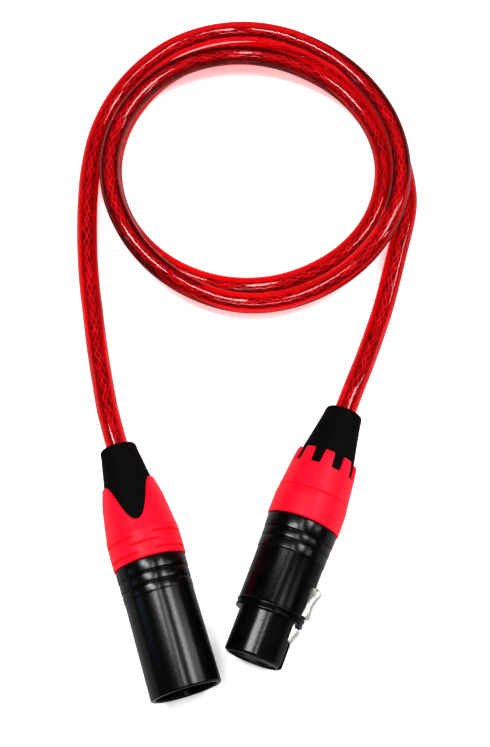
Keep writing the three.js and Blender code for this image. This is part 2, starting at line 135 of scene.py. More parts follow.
# Each soft box: name, place and size in metres, power in watts, colour.
SOFT_BOXES = [
    ("left_box", (-0.34, 0.15, 0.88), (0.16, 0.42), 8.0, WHITE),
    ("right_box", (0.48, 0.21, 0.82), (0.30, 0.24), 5.2, WHITE),
    ("overhead_box", (0.05, 0.06, 0.95), (0.38, 0.08), 2.4, WHITE),
    ("right_front_box", (0.82, -0.05, 0.6), (0.06, 0.3), 0.9, WHITE),
    ("right_strip", (0.745, 0.285, 0.62), (0.07, 0.5), 1.7, WHITE),
    ("front_box", (0.06, -0.7, 0.95), (0.4, 0.1), 2.4, WHITE),
    ("cool_fill", (-0.9, -0.1, 0.35), (0.06, 0.4), 0.35, (0.4, 0.55, 1.0)),
]


def facing(place, target):
    """The rotation that points a camera or a light at a target."""
    return (Vector(target) - Vector(place)).to_track_quat("-Z", "Y").to_euler()


def add_camera():
    """The eye stands over the connectors' mouths and looks down at the middle of the cable."""
    data = bpy.data.cameras.new("camera")
    data.lens = 62.65
    data.sensor_width = 36.0
    data.clip_start = 0.01
    camera = bpy.data.objects.new("camera", data)
    camera.location = EYE
    camera.rotation_euler = facing(EYE, LOOKED_AT)
    bpy.context.collection.objects.link(camera)
    bpy.context.scene.camera = camera


def soft_box(name, place, size, power, colour):
    data = bpy.data.lights.new(name, "AREA")
    data.shape = "RECTANGLE"
    data.size, data.size_y = size
    data.energy = power
    data.color = colour
    light = bpy.data.objects.new(name, data)
    light.location = place
    light.rotation_euler = facing(place, LIT_PLACE)
    bpy.context.collection.objects.link(light)


def add_lights():
    """Soft boxes round the cable, and a faint cool surround."""
    for box in SOFT_BOXES:
        soft_box(*box)
    world = bpy.data.worlds.new("studio")
    world.use_nodes = True
    surround = world.node_tree.nodes["Background"]
    surround.inputs["Color"].default_value = (0.9, 0.94, 1.0, 1.0)
    surround.inputs["Strength"].default_value = 0.07
    bpy.context.scene.world = world
    bpy.context.scene.view_settings.view_transform = "Standard"
    bpy.context.scene.view_settings.gamma = 0.85


# ---------------------------------------------------------------- materials

NOISE_RANGE = (0.3, 0.7)  # where most of a noise's values lie
TINT_STOPS = (0.35, 0.65)  # noise values at which a mottled colour reaches its two ends
ROUGHNESS_SPREAD = 0.06  # of a moulding, to each side of its mean
BLOTCHES = 220.0  # features in a metre of a moulding's mottling
STAINS = 400.0  # the same for a metal's stains
POLISHING_LINES = 2600.0  # and for its polishing lines
POLISHING_DEPTH = 0.000004  # metres


def new_material(name):
    """A material with a Principled shader on its output."""
    material = bpy.data.materials.new(name)
    material.use_nodes = True
    tree = material.node_tree
    tree.nodes.clear()
    output = tree.nodes.new("ShaderNodeOutputMaterial")
    shader = tree.nodes.new("ShaderNodeBsdfPrincipled")
    tree.links.new(shader.outputs["BSDF"], output.inputs["Surface"])
    return material, tree, shader


def choose(tree, usual, other, factor):
    """Puts a mix of two shaders on a material's output."""
    output = next(node for node in tree.nodes if node.type == "OUTPUT_MATERIAL")
    mix = tree.nodes.new("ShaderNodeMixShader")
    tree.links.new(factor, mix.inputs["Fac"])
    tree.links.new(usual.outputs["BSDF"], mix.inputs[1])
    tree.links.new(other.outputs["BSDF"], mix.inputs[2])
    tree.links.new(mix.outputs["Shader"], output.inputs["Surface"])


def noise(tree, scale, detail=3.0, stretch=(1.0, 1.0, 1.0)):
    """Fine variation in the piece's own coordinates. scale counts features in a metre."""
    where = tree.nodes.new("ShaderNodeTexCoord")
    mapping = tree.nodes.new("ShaderNodeMapping")
    mapping.inputs["Scale"].default_value = stretch
    texture = tree.nodes.new("ShaderNodeTexNoise")
    texture.inputs["Scale"].default_value = scale
    texture.inputs["Detail"].default_value = detail
    tree.links.new(where.outputs["Object"], mapping.inputs["Vector"])
    tree.links.new(mapping.outputs["Vector"], texture.inputs["Vector"])
    return texture.outputs["Fac"]


def vary(tree, factor, low, high, socket):
    """Maps a noise onto a range of a shader's value."""
    spread = tree.nodes.new("ShaderNodeMapRange")
    spread.inputs["From Min"].default_value, spread.inputs["From Max"].default_value = NOISE_RANGE
    spread.inputs["To Min"].default_value = low
    spread.inputs["To Max"].default_value = high
    tree.links.new(factor, spread.inputs["Value"])
    tree.links.new(spread.outputs["Result"], socket)


def tint(tree, factor, first, second, socket):
    """Mixes two colours by a noise."""
    ramp = tree.nodes.new("ShaderNodeValToRGB")
    for stop, position, colour in zip(ramp.color_ramp.elements, TINT_STOPS, (first, second)):
        stop.position = position
        stop.color = (*colour, 1.0)
    tree.links.new(factor, ramp.inputs["Fac"])
    tree.links.new(ramp.outputs["Color"], socket)


def bump(tree, shader, layers):
    """Stacks bumps. Each layer is (noise, height in metres)."""
    normal = None
    for factor, height in layers:
        layer = tree.nodes.new("ShaderNodeBump")
        layer.inputs["Strength"].default_value = 1.0
        layer.inputs["Distance"].default_value = height
        tree.links.new(factor, layer.inputs["Height"])
        if normal:
            tree.links.new(normal, layer.inputs["Normal"])
        normal = layer.outputs["Normal"]
    tree.links.new(normal, shader.inputs["Normal"])


def moulded(name, dark, light, roughness, grain, height, specular=0.5):
    """A moulded plastic or rubber: mottled colour, uneven sheen and a fine grain."""
    material, tree, shader = new_material(name)
    shader.inputs["Specular IOR Level"].default_value = specular
    broad = noise(tree, BLOTCHES)
    fine = noise(tree, grain, 4.0)
    tint(tree, broad, dark, light, shader.inputs["Base Color"])
    vary(tree, fine, roughness - ROUGHNESS_SPREAD, roughness + ROUGHNESS_SPREAD,
         shader.inputs["Roughness"])
    bump(tree, shader, [(fine, height)])
    return material


def bare_metal(name, dark, light, roughness, stretch=(1.0, 1.0, 1.0), metallic=1.0):
    """A plated or bare metal with faint polishing lines and small stains."""
    material, tree, shader = new_material(name)
    shader.inputs["Metallic"].default_value = metallic
    stains = noise(tree, STAINS)
    lines = noise(tree, POLISHING_LINES, 2.0, stretch)
    tint(tree, stains, dark, light, shader.inputs["Base Color"])
    vary(tree, lines, roughness * 0.7, roughness * 1.3, shader.inputs["Roughness"])
    bump(tree, shader, [(lines, POLISHING_DEPTH)])
    return material


def shell_paint(name, sheen):
    """Black paint on a die-cast shell, with the fine orange peel of a sprayed coat."""
    material, tree, shader = new_material(name)
    shader.inputs["Specular IOR Level"].default_value = sheen
    peel = noise(tree, 1500.0, 3.0)
    specks = noise(tree, 4200.0, 2.0)
    wear = noise(tree, 160.0, 5.0)
    tint(tree, wear, (0.0009, 0.0009, 0.0008), (0.0022, 0.0022, 0.0018),
         shader.inputs["Base Color"])
    vary(tree, specks, 0.15, 0.25, shader.inputs["Roughness"])
    bump(tree, shader, [(peel, 0.00002), (specks, 0.000012)])
    return material


def clear_jacket():
    """Clear red vinyl. Lamps shine through it in red, onto the screen inside and the floor."""
    material, tree, shader = new_material("clear_jacket")
    shader.inputs["Base Color"].default_value = (0.4, 0.004, 0.008, 1.0)
    shader.inputs["Transmission Weight"].default_value = 1.0
    shader.inputs["IOR"].default_value = 1.33
    shader.inputs["Specular IOR Level"].default_value = 0.8
    vary(tree, noise(tree, 900.0), 0.03, 0.08, shader.inputs["Roughness"])
    bump(tree, shader, [(noise(tree, 150.0, 2.0), 0.0001)])
    path = tree.nodes.new("ShaderNodeLightPath")
    passing = tree.nodes.new("ShaderNodeBsdfTransparent")
    passing.inputs["Color"].default_value = (0.98, 0.36, 0.36, 1.0)
    choose(tree, shader, passing, path.outputs["Is Shadow Ray"])
    return material


def make_materials():
    """A material for each slot of the record, and for the cable's inside and the duller barrel."""
    return {
        "jacket": clear_jacket(),
        "braid": bare_metal(
            "braid_wire", (0.4, 0.14, 0.18), (0.62, 0.32, 0.38), 0.5, metallic=0.1),
        "core": moulded(
            "core_filler", (0.12, 0.009, 0.012), (0.36, 0.028, 0.036), 0.5, 2500.0, 0.00003),
        "red_plastic": moulded(
            "red_moulding", (0.88, 0.003, 0.02), (0.94, 0.005, 0.03), 0.42, 2600.0, 0.000012, 0.12),
        "shell": shell_paint("shell_paint", 0.24),
        "barrel": shell_paint("barrel_paint", 0.09),
        "boot": moulded(
            "boot_rubber", (0.0014, 0.0014, 0.0011), (0.0026, 0.0026, 0.0021),
            0.7, 3200.0, 0.00003, 0.05),
        "insert": moulded(
            "insert_moulding", (0.006, 0.006, 0.006), (0.012, 0.012, 0.012),
            0.5, 3000.0, 0.00002, 0.3),
        "chuck": moulded(
            "chuck_moulding", (0.72, 0.70, 0.64), (0.82, 0.80, 0.75), 0.5, 2500.0, 0.00002),
        "latch": bare_metal(
            "latch_chrome", (0.6, 0.6, 0.54), (0.95, 0.95, 0.9), 0.34, (1.0, 0.12, 1.0)),
        "contacts": bare_metal(
            "contact_silver", (0.62, 0.61, 0.57), (0.86, 0.85, 0.8), 0.24, (1.0, 0.1, 1.0)),
        "spring_steel": bare_metal(
            "spring_steel", (0.42, 0.42, 0.42), (0.58, 0.58, 0.58), 0.34, (0.2, 1.0, 1.0)),
        "copper": bare_metal(
            "drain_copper", (0.66, 0.34, 0.17), (0.84, 0.5, 0.28), 0.3),
        "wire_red": moulded(
            "wire_red", (0.5, 0.015, 0.015), (0.62, 0.03, 0.03), 0.45, 2500.0, 0.00002),
        "wire_white": moulded(
            "wire_white", (0.74, 0.74, 0.7), (0.85, 0.85, 0.82), 0.45, 2500.0, 0.00002),
    }


def floor_material():
    """White paper that glows a little.

    Paint and chrome mirror it as a dim grey, so that they stay dark at their edges. Through the
    clear jacket it stays bright.
    """
    material, tree, shader = new_material("floor_paper")
    sheet = noise(tree, 900.0, 4.0)
    tint(tree, sheet, (0.93, 0.93, 0.93), (0.95, 0.95, 0.95), shader.inputs["Base Color"])
    shader.inputs["Roughness"].default_value = 0.9
    shader.inputs["Specular IOR Level"].default_value = 0.1
    shader.inputs["Emission Color"].default_value = (*WHITE, 1.0)
    shader.inputs["Emission Strength"].default_value = 0.35
    bump(tree, shader, [(sheet, 0.00001)])
    path = tree.nodes.new("ShaderNodeLightPath")
    dim = tree.nodes.new("ShaderNodeBsdfDiffuse")
    dim.inputs["Color"].default_value = (0.42, 0.42, 0.42, 1.0)
    direct = tree.nodes.new("ShaderNodeMath")
    direct.operation = "LESS_THAN"
    direct.inputs[1].default_value = 0.5
    mirrored = tree.nodes.new("ShaderNodeMath")
    mirrored.operation = "MULTIPLY"
    tree.links.new(path.outputs["Transmission Depth"], direct.inputs[0])
    tree.links.new(direct.outputs["Value"], mirrored.inputs[0])
    tree.links.new(path.outputs["Is Glossy Ray"], mirrored.inputs[1])
    choose(tree, shader, dim, mirrored.outputs["Value"])
    return material


# ---------------------------------------------------------------- mesh building

def shade(mesh, sharp_angle):
    """Smooth shading, broken where faces meet at more than an angle in degrees."""
    mesh.shade_smooth()
    mesh.set_sharp_from_angle(angle=math.radians(sharp_angle))


def build(name, points, faces, material, smooth_angle=SHARP_ANGLE):
    """A mesh object from millimetre points, merged, facing outwards and smooth up to an angle."""
    mesh = bpy.data.meshes.new(name)
    mesh.from_pydata((np.asarray(points, float) * MM).tolist(), [], faces)
    merged = bmesh.new()
    merged.from_mesh(mesh)
    bmesh.ops.remove_doubles(merged, verts=merged.verts, dist=1e-7)
    bmesh.ops.recalc_face_normals(merged, faces=merged.faces)
    merged.to_mesh(mesh)
    merged.free()
    shade(mesh, smooth_angle)
    mesh.materials.append(material)
    piece = bpy.data.objects.new(name, mesh)
    bpy.context.collection.objects.link(piece)
    return piece


def lattice_faces(rows, columns, close_rows=False):
    """Quads between rows of points that each close on themselves."""
    faces = []
    for row in range(rows if close_rows else rows - 1):
        below = row * columns
        above = ((row + 1) % rows) * columns
        for column in range(columns):
            after = (column + 1) % columns
            faces.append((below + column, below + after, above + after, above + column))
    return faces


def eased(outline, radius, steps=4):
    """A closed outline with a curve of about this radius at each corner off the axis."""
    points = [np.array(point, float) for point in outline]
    result = []
    for index, corner in enumerate(points):
        before = points[index - 1] - corner
        after = points[(index + 1) % len(points)] - corner
        if corner[0] == 0:
            result.append(corner)
            continue
        start = corner + before * min(radius / np.linalg.norm(before), 0.45)
        end = corner + after * min(radius / np.linalg.norm(after), 0.45)
        for step in range(steps + 1):
            t = step / steps
            result.append((1 - t) ** 2 * start + 2 * t * (1 - t) * corner + t ** 2 * end)
    return result


def turned_mesh(outline, columns=COLUMNS):
    """Points and faces of a closed (radius, y) outline turned around the local Y axis."""
    outline = np.array(outline)
    turn = np.arange(columns) * 2 * np.pi / columns
    points = np.empty((len(outline), columns, 3))
    points[..., 0] = outline[:, :1] * np.sin(turn)
    points[..., 1] = outline[:, 1:]
    points[..., 2] = outline[:, :1] * np.cos(turn)
    return points.reshape(-1, 3), lattice_faces(len(outline), columns, close_rows=True)


def off_axis(angle):
    """The directions across and outward at an angle round the local Y axis, from up towards +X."""
    turn = math.radians(angle)
    across = np.array((math.cos(turn), 0.0, -math.sin(turn)))
    outward = np.array((math.sin(turn), 0.0, math.cos(turn)))
    return across, outward


def radial_wedge(angle, half_widths, y_range, radius_range):
    """Points and faces of a block off the axis with one half width in front and one behind."""
    across, outward = off_axis(angle)
    points = [
        across * side * half + outward * radius + np.array((0.0, y, 0.0))
        for radius in radius_range for y, half in zip(y_range, half_widths) for side in (-1, 1)
    ]
    faces = [(0, 1, 3, 2), (4, 5, 7, 6), (0, 1, 5, 4), (2, 3, 7, 6), (0, 2, 6, 4), (1, 3, 7, 5)]
    return points, faces


def radial_box(angle, width, y_range, radius_range):
    """The same with one width."""
    return radial_wedge(angle, (width / 2, width / 2), y_range, radius_range)


def radial_plate(angle, width, outline):
    """Points and faces of a (y, radius) outline given a width and turned to an angle."""
    across, outward = off_axis(angle)
    count = len(outline)
    points = [
        across * side * width / 2 + outward * radius + np.array((0.0, y, 0.0))
        for side in (-1, 1) for y, radius in outline
    ]
    faces = [tuple(range(count)), tuple(range(count, 2 * count))]
    faces += [(i, (i + 1) % count, count + (i + 1) % count, count + i) for i in range(count)]
    return points, faces


def bake_modifiers(piece):
    """Replaces the piece's mesh by its mesh with every modifier applied."""
    graph = bpy.context.evaluated_depsgraph_get()
    mesh = bpy.data.meshes.new_from_object(piece.evaluated_get(graph))
    piece.modifiers.clear()
    piece.data = mesh


def unite_or_cut(piece, others, operation):
    """Joins other pieces to this one or cuts them from it, and removes them."""
    for other in others:
        modifier = piece.modifiers.new("combine", "BOOLEAN")
        modifier.operation = operation
        modifier.solver = "EXACT"
        modifier.object = other
    bpy.context.view_layer.update()
    bake_modifiers(piece)
    for other in others:
        bpy.data.objects.remove(other)


def combine(piece, tool_meshes, operation):
    """The same with tools that are given as points and faces."""
    material = piece.data.materials[0]
    tools = [build("tool", points, faces, material) for points, faces in tool_meshes]
    unite_or_cut(piece, tools, operation)


def soften(piece, width, segments=3, angle=35.0):
    """Rounds a piece's sharp edges."""
    modifier = piece.modifiers.new("soften", "BEVEL")
    modifier.width = width * MM
    modifier.segments = segments
    modifier.limit_method = "ANGLE"
    modifier.angle_limit = math.radians(angle)
    bpy.context.view_layer.update()
    bake_modifiers(piece)
    shade(piece.data, angle)


# ---------------------------------------------------------------- the cable

def through(points, spacing):
    """A centripetal Catmull-Rom curve through points, as points a steady distance apart."""
    points = np.array(points, float)
    padded = np.vstack([2 * points[0] - points[1], points, 2 * points[-1] - points[-2]])
    pieces = []
    for p0, p1, p2, p3 in zip(padded, padded[1:], padded[2:], padded[3:]):
        t1 = np.linalg.norm(p1 - p0) ** 0.5
        t2 = t1 + np.linalg.norm(p2 - p1) ** 0.5
        t3 = t2 + np.linalg.norm(p3 - p2) ** 0.5
        t = np.linspace(t1, t2, 24, endpoint=False)[:, None]
        a1 = (t1 - t) / t1 * p0 + t / t1 * p1
        a2 = (t2 - t) / (t2 - t1) * p1 + (t - t1) / (t2 - t1) * p2
        a3 = (t3 - t) / (t3 - t2) * p2 + (t - t2) / (t3 - t2) * p3
        b1 = (t2 - t) / t2 * a1 + t / t2 * a2
        b2 = (t3 - t) / (t3 - t1) * a2 + (t - t1) / (t3 - t1) * a3
        pieces.append((t2 - t) / (t2 - t1) * b1 + (t - t1) / (t2 - t1) * b2)
    dense = np.vstack(pieces + [points[-1:]])
    run = np.concatenate([[0.0], np.cumsum(np.linalg.norm(np.diff(dense, axis=0), axis=1))])
    count = round(run[-1] / spacing) + 1
    wanted = np.linspace(0.0, run[-1], count)
    return np.column_stack([np.interp(wanted, run, dense[:, axis]) for axis in range(3)])


def coil_points():
    """The turns, with 24 points in each, smoothly between the stations."""
    stations = np.array(FIRST_TURN + SECOND_TURN + LAST_HALF_TURN)
    points = []
    step = STATION_STEP / 2
    last = FIRST_STATION - STATION_STEP * (len(stations) - 1)
    angle = FIRST_STATION - step
    while angle > last:
        place = (FIRST_STATION - angle) / STATION_STEP
        index = min(int(place), len(stations) - 2)
        t = place - index
        p0 = stations[max(index - 1, 0)]
        p1, p2 = stations[index], stations[index + 1]
        p3 = stations[min(index + 2, len(stations) - 1)]
        radius, height = 0.5 * (
            2 * p1 + (p2 - p0) * t + (2 * p0 - 5 * p1 + 4 * p2 - p3) * t ** 2
            + (3 * p1 - p0 - 3 * p2 + p3) * t ** 3)
        turn = math.radians(angle)
        points.append((
            COIL_CENTRE[0] + radius * math.cos(turn),
            COIL_CENTRE[1] + radius * math.sin(turn),
            height,
        ))
        angle -= step
    return points


def cable_route(spacing):
    return through(MALE_LEG + coil_points() + FEMALE_LEG[::-1], spacing)


def route_frames(route):
    """For each point of a route: its direction, and the two directions across it."""
    ahead = np.gradient(route, axis=0)
    ahead /= np.linalg.norm(ahead, axis=1)[:, None]
    side = np.cross(ahead, (0.0, 0.0, 1.0))
    side /= np.linalg.norm(side, axis=1)[:, None]
    return ahead, side, np.cross(side, ahead)


def add_tube(name, route, radius, sides, material):
    """A round tube with closed ends along a route."""
    _, side, up = route_frames(route)
    turn = np.arange(sides) * 2 * np.pi / sides
    cosine, sine = np.cos(turn)[None, :, None], np.sin(turn)[None, :, None]
    ring = cosine * side[:, None, :] + sine * up[:, None, :]
    points = (route[:, None, :] + radius * ring).reshape(-1, 3)
    faces = lattice_faces(len(route), sides)
    faces += [tuple(range(sides)), tuple(range(len(points) - sides, len(points)))]
    return build(name, points, faces, material, 60.0)


def wander(turns, strand):
    """How far a strand strays around the core, in radians: slow waves of its own."""
    return sum(size * np.sin(rate * turns + phase * strand) for size, rate, phase in STRAND_WAVES)


def add_braid(material):
    """The woven screen: strands that wind both ways around the core, over and under each other."""
    steps_per_pitch = 48
    weave_steps = steps_per_pitch // BRAID_STRANDS
    route = cable_route(BRAID_PITCH / steps_per_pitch)
    _, side, up = route_frames(route)
    count = len(route)
    along = np.arange(count)
    points, faces = [], []
    for hand in (1, -1):
        for strand in range(BRAID_STRANDS):
            turn = hand * 2 * np.pi * along / steps_per_pitch + 2 * np.pi * strand / BRAID_STRANDS
            turn = turn + wander(along / steps_per_pitch, strand + hand * BRAID_STRANDS)
            radius = BRAID_RADIUS + hand * BRAID_LIFT * np.cos(2 * np.pi * along / weave_steps)
            outward = np.cos(turn)[:, None] * side + np.sin(turn)[:, None] * up
            centre = route + radius[:, None] * outward
            forward = np.gradient(centre, axis=0)
            across = np.cross(outward, forward)
            across *= (STRAND_WIDTH / 2) / np.linalg.norm(across, axis=1)[:, None]
            first = len(points)
            ridge = centre + outward * STRAND_HEIGHT
            section = np.stack([centre - across, ridge, centre + across], axis=1)
            points.extend(section.reshape(-1, 3))
            faces += [
                tuple(first + corner for corner in face) for face in lattice_faces(count, 3)]
            end = first + 3 * (count - 1)
            faces += [(first, first + 1, first + 2), (end, end + 1, end + 2)]
    return build("cable_braid", points, faces, material, 80.0)


def add_cable(materials):
    route = cable_route(1.0)
    jacket = add_tube("cable_jacket", route, CABLE_RADIUS, 28, materials["jacket"])
    core = add_tube("cable_core", route, CORE_RADIUS, 14, materials["core"])
    braid = add_braid(materials["braid"])
    for piece, slot in ((jacket, "jacket"), (core, "wire_red"), (braid, "copper")):
        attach(piece, "root")
    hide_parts("cable_male_leg", "cable_coil", "cable_female_leg")


# ---------------------------------------------------------------- connector frames

def named(items, name):
    return next(item for item in items if item["name"] == name)


def connector_frame(collar_joint, rim_mount, rim_at):
    """The connector's local frame: +Y towards the cable, +Z up, its mating rim at y = rim_at."""
    joint = named(frame["joints"], collar_joint)
    axis = Vector(joint["axis"]).normalized()
    pivot = Vector(joint["pos_m"])
    rim = Vector(named(frame["record"]["mounts"], rim_mount)["pos_m"])
    origin = pivot + axis * ((rim - pivot).dot(axis) - rim_at * MM)
    up = Vector((0.0, 0.0, 1.0))
    matrix = Matrix((axis.cross(up), axis, up)).transposed().to_4x4()
    matrix.translation = origin
    return matrix


def key_angle_from(matrix, latch_joint):
    """The angle of the keyway and latch, from up towards local +X, in degrees."""
    axis = matrix.to_3x3().transposed() @ Vector(named(frame["joints"], latch_joint)["axis"])
    return math.degrees(math.atan2(-axis.z, axis.x))


def fit(piece, matrix, body, slot, *nodes):
    """Places a piece built in a connector's local frame, and hides the CAD nodes it stands in for."""
    piece.matrix_world = matrix
    bpy.context.view_layer.update()
    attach(piece, body)
    if nodes:
        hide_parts(*nodes)


# ---------------------------------------------------------------- pieces that both ends share

def edge_curve(edge, radius, columns):
    """A collar's rear edge as evenly spaced (angle, y) points, with the edge's outward normals."""
    turn = np.linspace(0.0, 2 * np.pi, 4001)
    y = edge(turn)
    run = np.concatenate([[0.0], np.cumsum(np.hypot(np.diff(turn) * radius, np.diff(y)))])
    wanted = np.linspace(0.0, run[-1], columns, endpoint=False)
    angle, height = np.interp(wanted, run, turn), np.interp(wanted, run, y)
    around = (np.roll(np.unwrap(angle), -1) - np.roll(angle, 1))
    around = (around + np.pi) % (2 * np.pi) - np.pi
    rise = np.roll(height, -1) - np.roll(height, 1)
    size = np.hypot(around * radius, rise)
    return angle, height, -rise / size / radius, around * radius / size


def crown_sleeve(name, shape, material):
    """A collar whose rear edge rises and falls, with rounded edges and a wall over the boot."""
    columns, ease = shape["columns"], shape["ease"]
    lower, level = shape["lower"], shape["level"]
    outer, inner = shape["outer"], shape["inner"]
    angle, height, normal_angle, normal_y = edge_curve(shape["edge"], shape["edge_radius"], columns)
    level_angle = np.arange(columns) * 2 * np.pi / columns
    rows = []
    for step in range(EDGE_STEPS, -1, -1):
        turn = step / EDGE_STEPS * np.pi / 2
        y = np.full(columns, lower + ease * (1 - math.sin(turn)))
        rows.append((level_angle, y, outer(level_angle, y) - ease * (1 - math.cos(turn))))
    for y in np.linspace(lower + ease, level, shape["level_rows"])[1:]:
        ring = np.full(columns, y)
        rows.append((level_angle, ring, outer(level_angle, ring)))
    top_angle = angle - normal_angle * ease
    top_y = height - normal_y * ease
    for t in np.linspace(0.0, 1.0, shape["rise_rows"])[1:]:
        a = level_angle + (top_angle - level_angle) * t
        y = level + (top_y - level) * t
        rows.append((a, y, outer(a, y)))
    for step in range(1, EDGE_STEPS + 1):
        turn = step / EDGE_STEPS * np.pi / 2
        a = angle - normal_angle * ease * (1 - math.sin(turn))
        y = height - normal_y * ease * (1 - math.sin(turn))
        rows.append((a, y, outer(a, y) - ease * (1 - math.cos(turn))))
    rows.append((angle, height, inner(height)))
    for t in np.linspace(1.0, 0.0, shape["rise_rows"])[1:]:
        a = level_angle + (angle - level_angle) * t
        y = level + (height - level) * t
        rows.append((a, y, inner(y)))
    for y in np.linspace(level, lower, INNER_ROWS)[1:]:
        ring = np.full(columns, y)
        rows.append((level_angle, ring, inner(ring)))
    points = np.array([
        np.column_stack([radius * np.sin(a), y, radius * np.cos(a)]) for a, y, radius in rows])
    return build(name, points.reshape(-1, 3), lattice_faces(len(rows), columns, True), material)


def along(knots):
    """A radius as a function of y, through (radius, y) knots."""
    radii, heights = np.array(knots).T
    return lambda y: np.interp(y, heights, radii)


def add_boot(name, outside, cone_end, matrix, body, material):
    """A soft boot: a cone with rounded shoulders, open down its middle for the chuck and cable."""
    bore = CABLE_RADIUS + GAP
    front, rear = outside[0][1], outside[-1][1]
    inside = [(bore, rear), (bore, cone_end + 1.5), (4.9, cone_end), (6.2, front)]
    points, faces = turned_mesh(eased(outside + inside, 0.9, 6))
    boot = build(name, points, faces, material, ROUND_SHARP_ANGLE)
    fit(boot, matrix, body, "boot", name.replace("_cover", ""))


def add_contacts(family, outline, key, matrix, material):
    """Three equal turned contacts on a circle, placed from the key."""
    for index, offset in enumerate(CONTACT_OFFSETS):
        _, outward = off_axis(key + offset)
        points, faces = turned_mesh(outline, CONTACT_COLUMNS)
        points = points + CONTACT_CIRCLE * outward
        node = f"{family}_{index + 1}"
        contact = build(f"{node}_turned", points, faces, material, ROUND_SHARP_ANGLE)
        fit(contact, matrix, "root", "contacts", node)


# ---------------------------------------------------------------- male connector

def add_male_shell(matrix, material):
    """The tube with two grooves near its collar, and its key and latch pocket inside the mouth."""
    edge, neck_end = MALE_COLLAR_EDGE, 41.0
    outline = [
        (9.25, 0), (9.55, 0.35), (9.4, edge - 9), (9.55, edge - 8.7), (9.55, edge - 6.8),
        (9.2, edge - 6.6), (9.2, edge - 6.3), (9.6, edge - 6.1), (9.6, edge - 3.8),
        (9.25, edge - 3.6), (9.25, edge - 3.3), (9.7, edge - 3.1), (9.7, edge),
        (NECK_RADIUS, edge), (NECK_RADIUS, neck_end), (6.7, neck_end), (6.7, 22), (8.2, 22),
        (8.2, 0.3), (8.5, 0),
    ]
    shell = build("male_shell_cover", *turned_mesh(eased(outline, CAST_EDGE, 3)), material)
    combine(shell, [radial_box(MALE_KEY, 2.2, (4.4, 13.6), (7.3, 8.8))], "UNION")
    combine(shell, [radial_box(MALE_KEY, 4.2, (1.3, 3.8), (7.5, 9.0))], "DIFFERENCE")
    shade(shell.data, SHARP_ANGLE)
    fit(shell, matrix, "root", "shell", "male_shell")


def add_pins(matrix, materials):
    """Round nosed pins with solder cups behind the insert."""
    tip, back, end = 2.9, 22.0, 27.0
    outline = [
        (0.0, tip), (0.55, tip + 0.08), (0.95, tip + 0.45), (1.15, tip + 1.0), (1.2, tip + 1.6),
        (1.2, back), (1.5, back), (1.5, end), (1.0, end), (1.0, back + 1), (0.0, back + 1),
    ]
    add_contacts("male_pin", outline, MALE_KEY, matrix, materials["contacts"])


def male_edge(angle):
    """The collar's rear edge: two long lobes, one on each side."""
    lobe_tip, valley_depth = 58.4, 12.4
    return lobe_tip - valley_depth * np.abs(np.cos(angle)) ** 5.5


def grip_groove(angle, y):
    """Depth of the finger grooves: two rows broken at top and bottom, one row only there."""
    from_break = np.degrees(np.arcsin(np.clip(np.abs(np.sin(angle)), 0, 1)))
    depth = np.zeros_like(y)
    for place, start, side in MALE_GROOVES:
        ends = np.clip(side * (from_break - start) / GROOVE_FADE, 0, 1)
        off_centre = (y - MALE_COLLAR_FRONT - place) / GROOVE_HALF_WIDTH
        depth = depth + GROOVE_DEPTH * ends * np.clip(1 - off_centre ** 2, 0, 1) ** 0.5
    return depth


def add_male_backshell(matrix, materials):
    """The grooved collar with its two lobes, and the boot that fills the valleys between them."""
    front = MALE_COLLAR_FRONT
    cone = along([
        (9.85, front), (10.0, 35.8), (10.0, 42.9), (9.88, 43.1), (9.88, 43.25), (10.0, 43.45),
        (9.9, 43.8), (9.66, 45.2), (9.2, 48.8), (8.65, 52.7), (8.25, 54.7), (7.7, 56.8),
        (7.1, 58.9),
    ])
    inner = along([
        (8.3, front), (8.3, 42.1), (9.05, 44.2), (8.55, 48.1), (7.55, 54.1), (6.75, 58.9)])
    collar = crown_sleeve("male_collar_cover", {
        "columns": 224, "edge": male_edge, "edge_radius": 8.6, "lower": front,
        "level": MALE_COLLAR_LEVEL, "level_rows": 84, "rise_rows": 22, "ease": 0.28,
        "inner": inner, "outer": lambda angle, y: cone(y) - grip_groove(angle, y),
    }, materials["red_plastic"])
    fit(collar, matrix, "male_backshell", "red_plastic", "male_collar")
    add_boot("male_boot_cover", [
        (7.9, 42.4), (8.95, 44), (8.5, 48), (7.5, 53.9), (6.65, 58.8), (6.25, 60.9),
        (5.6, 65.1), (5.25, 67.1), (5.05, 69.4),
    ], 55.9, matrix, "male_backshell", materials["boot"])


# ---------------------------------------------------------------- female connector

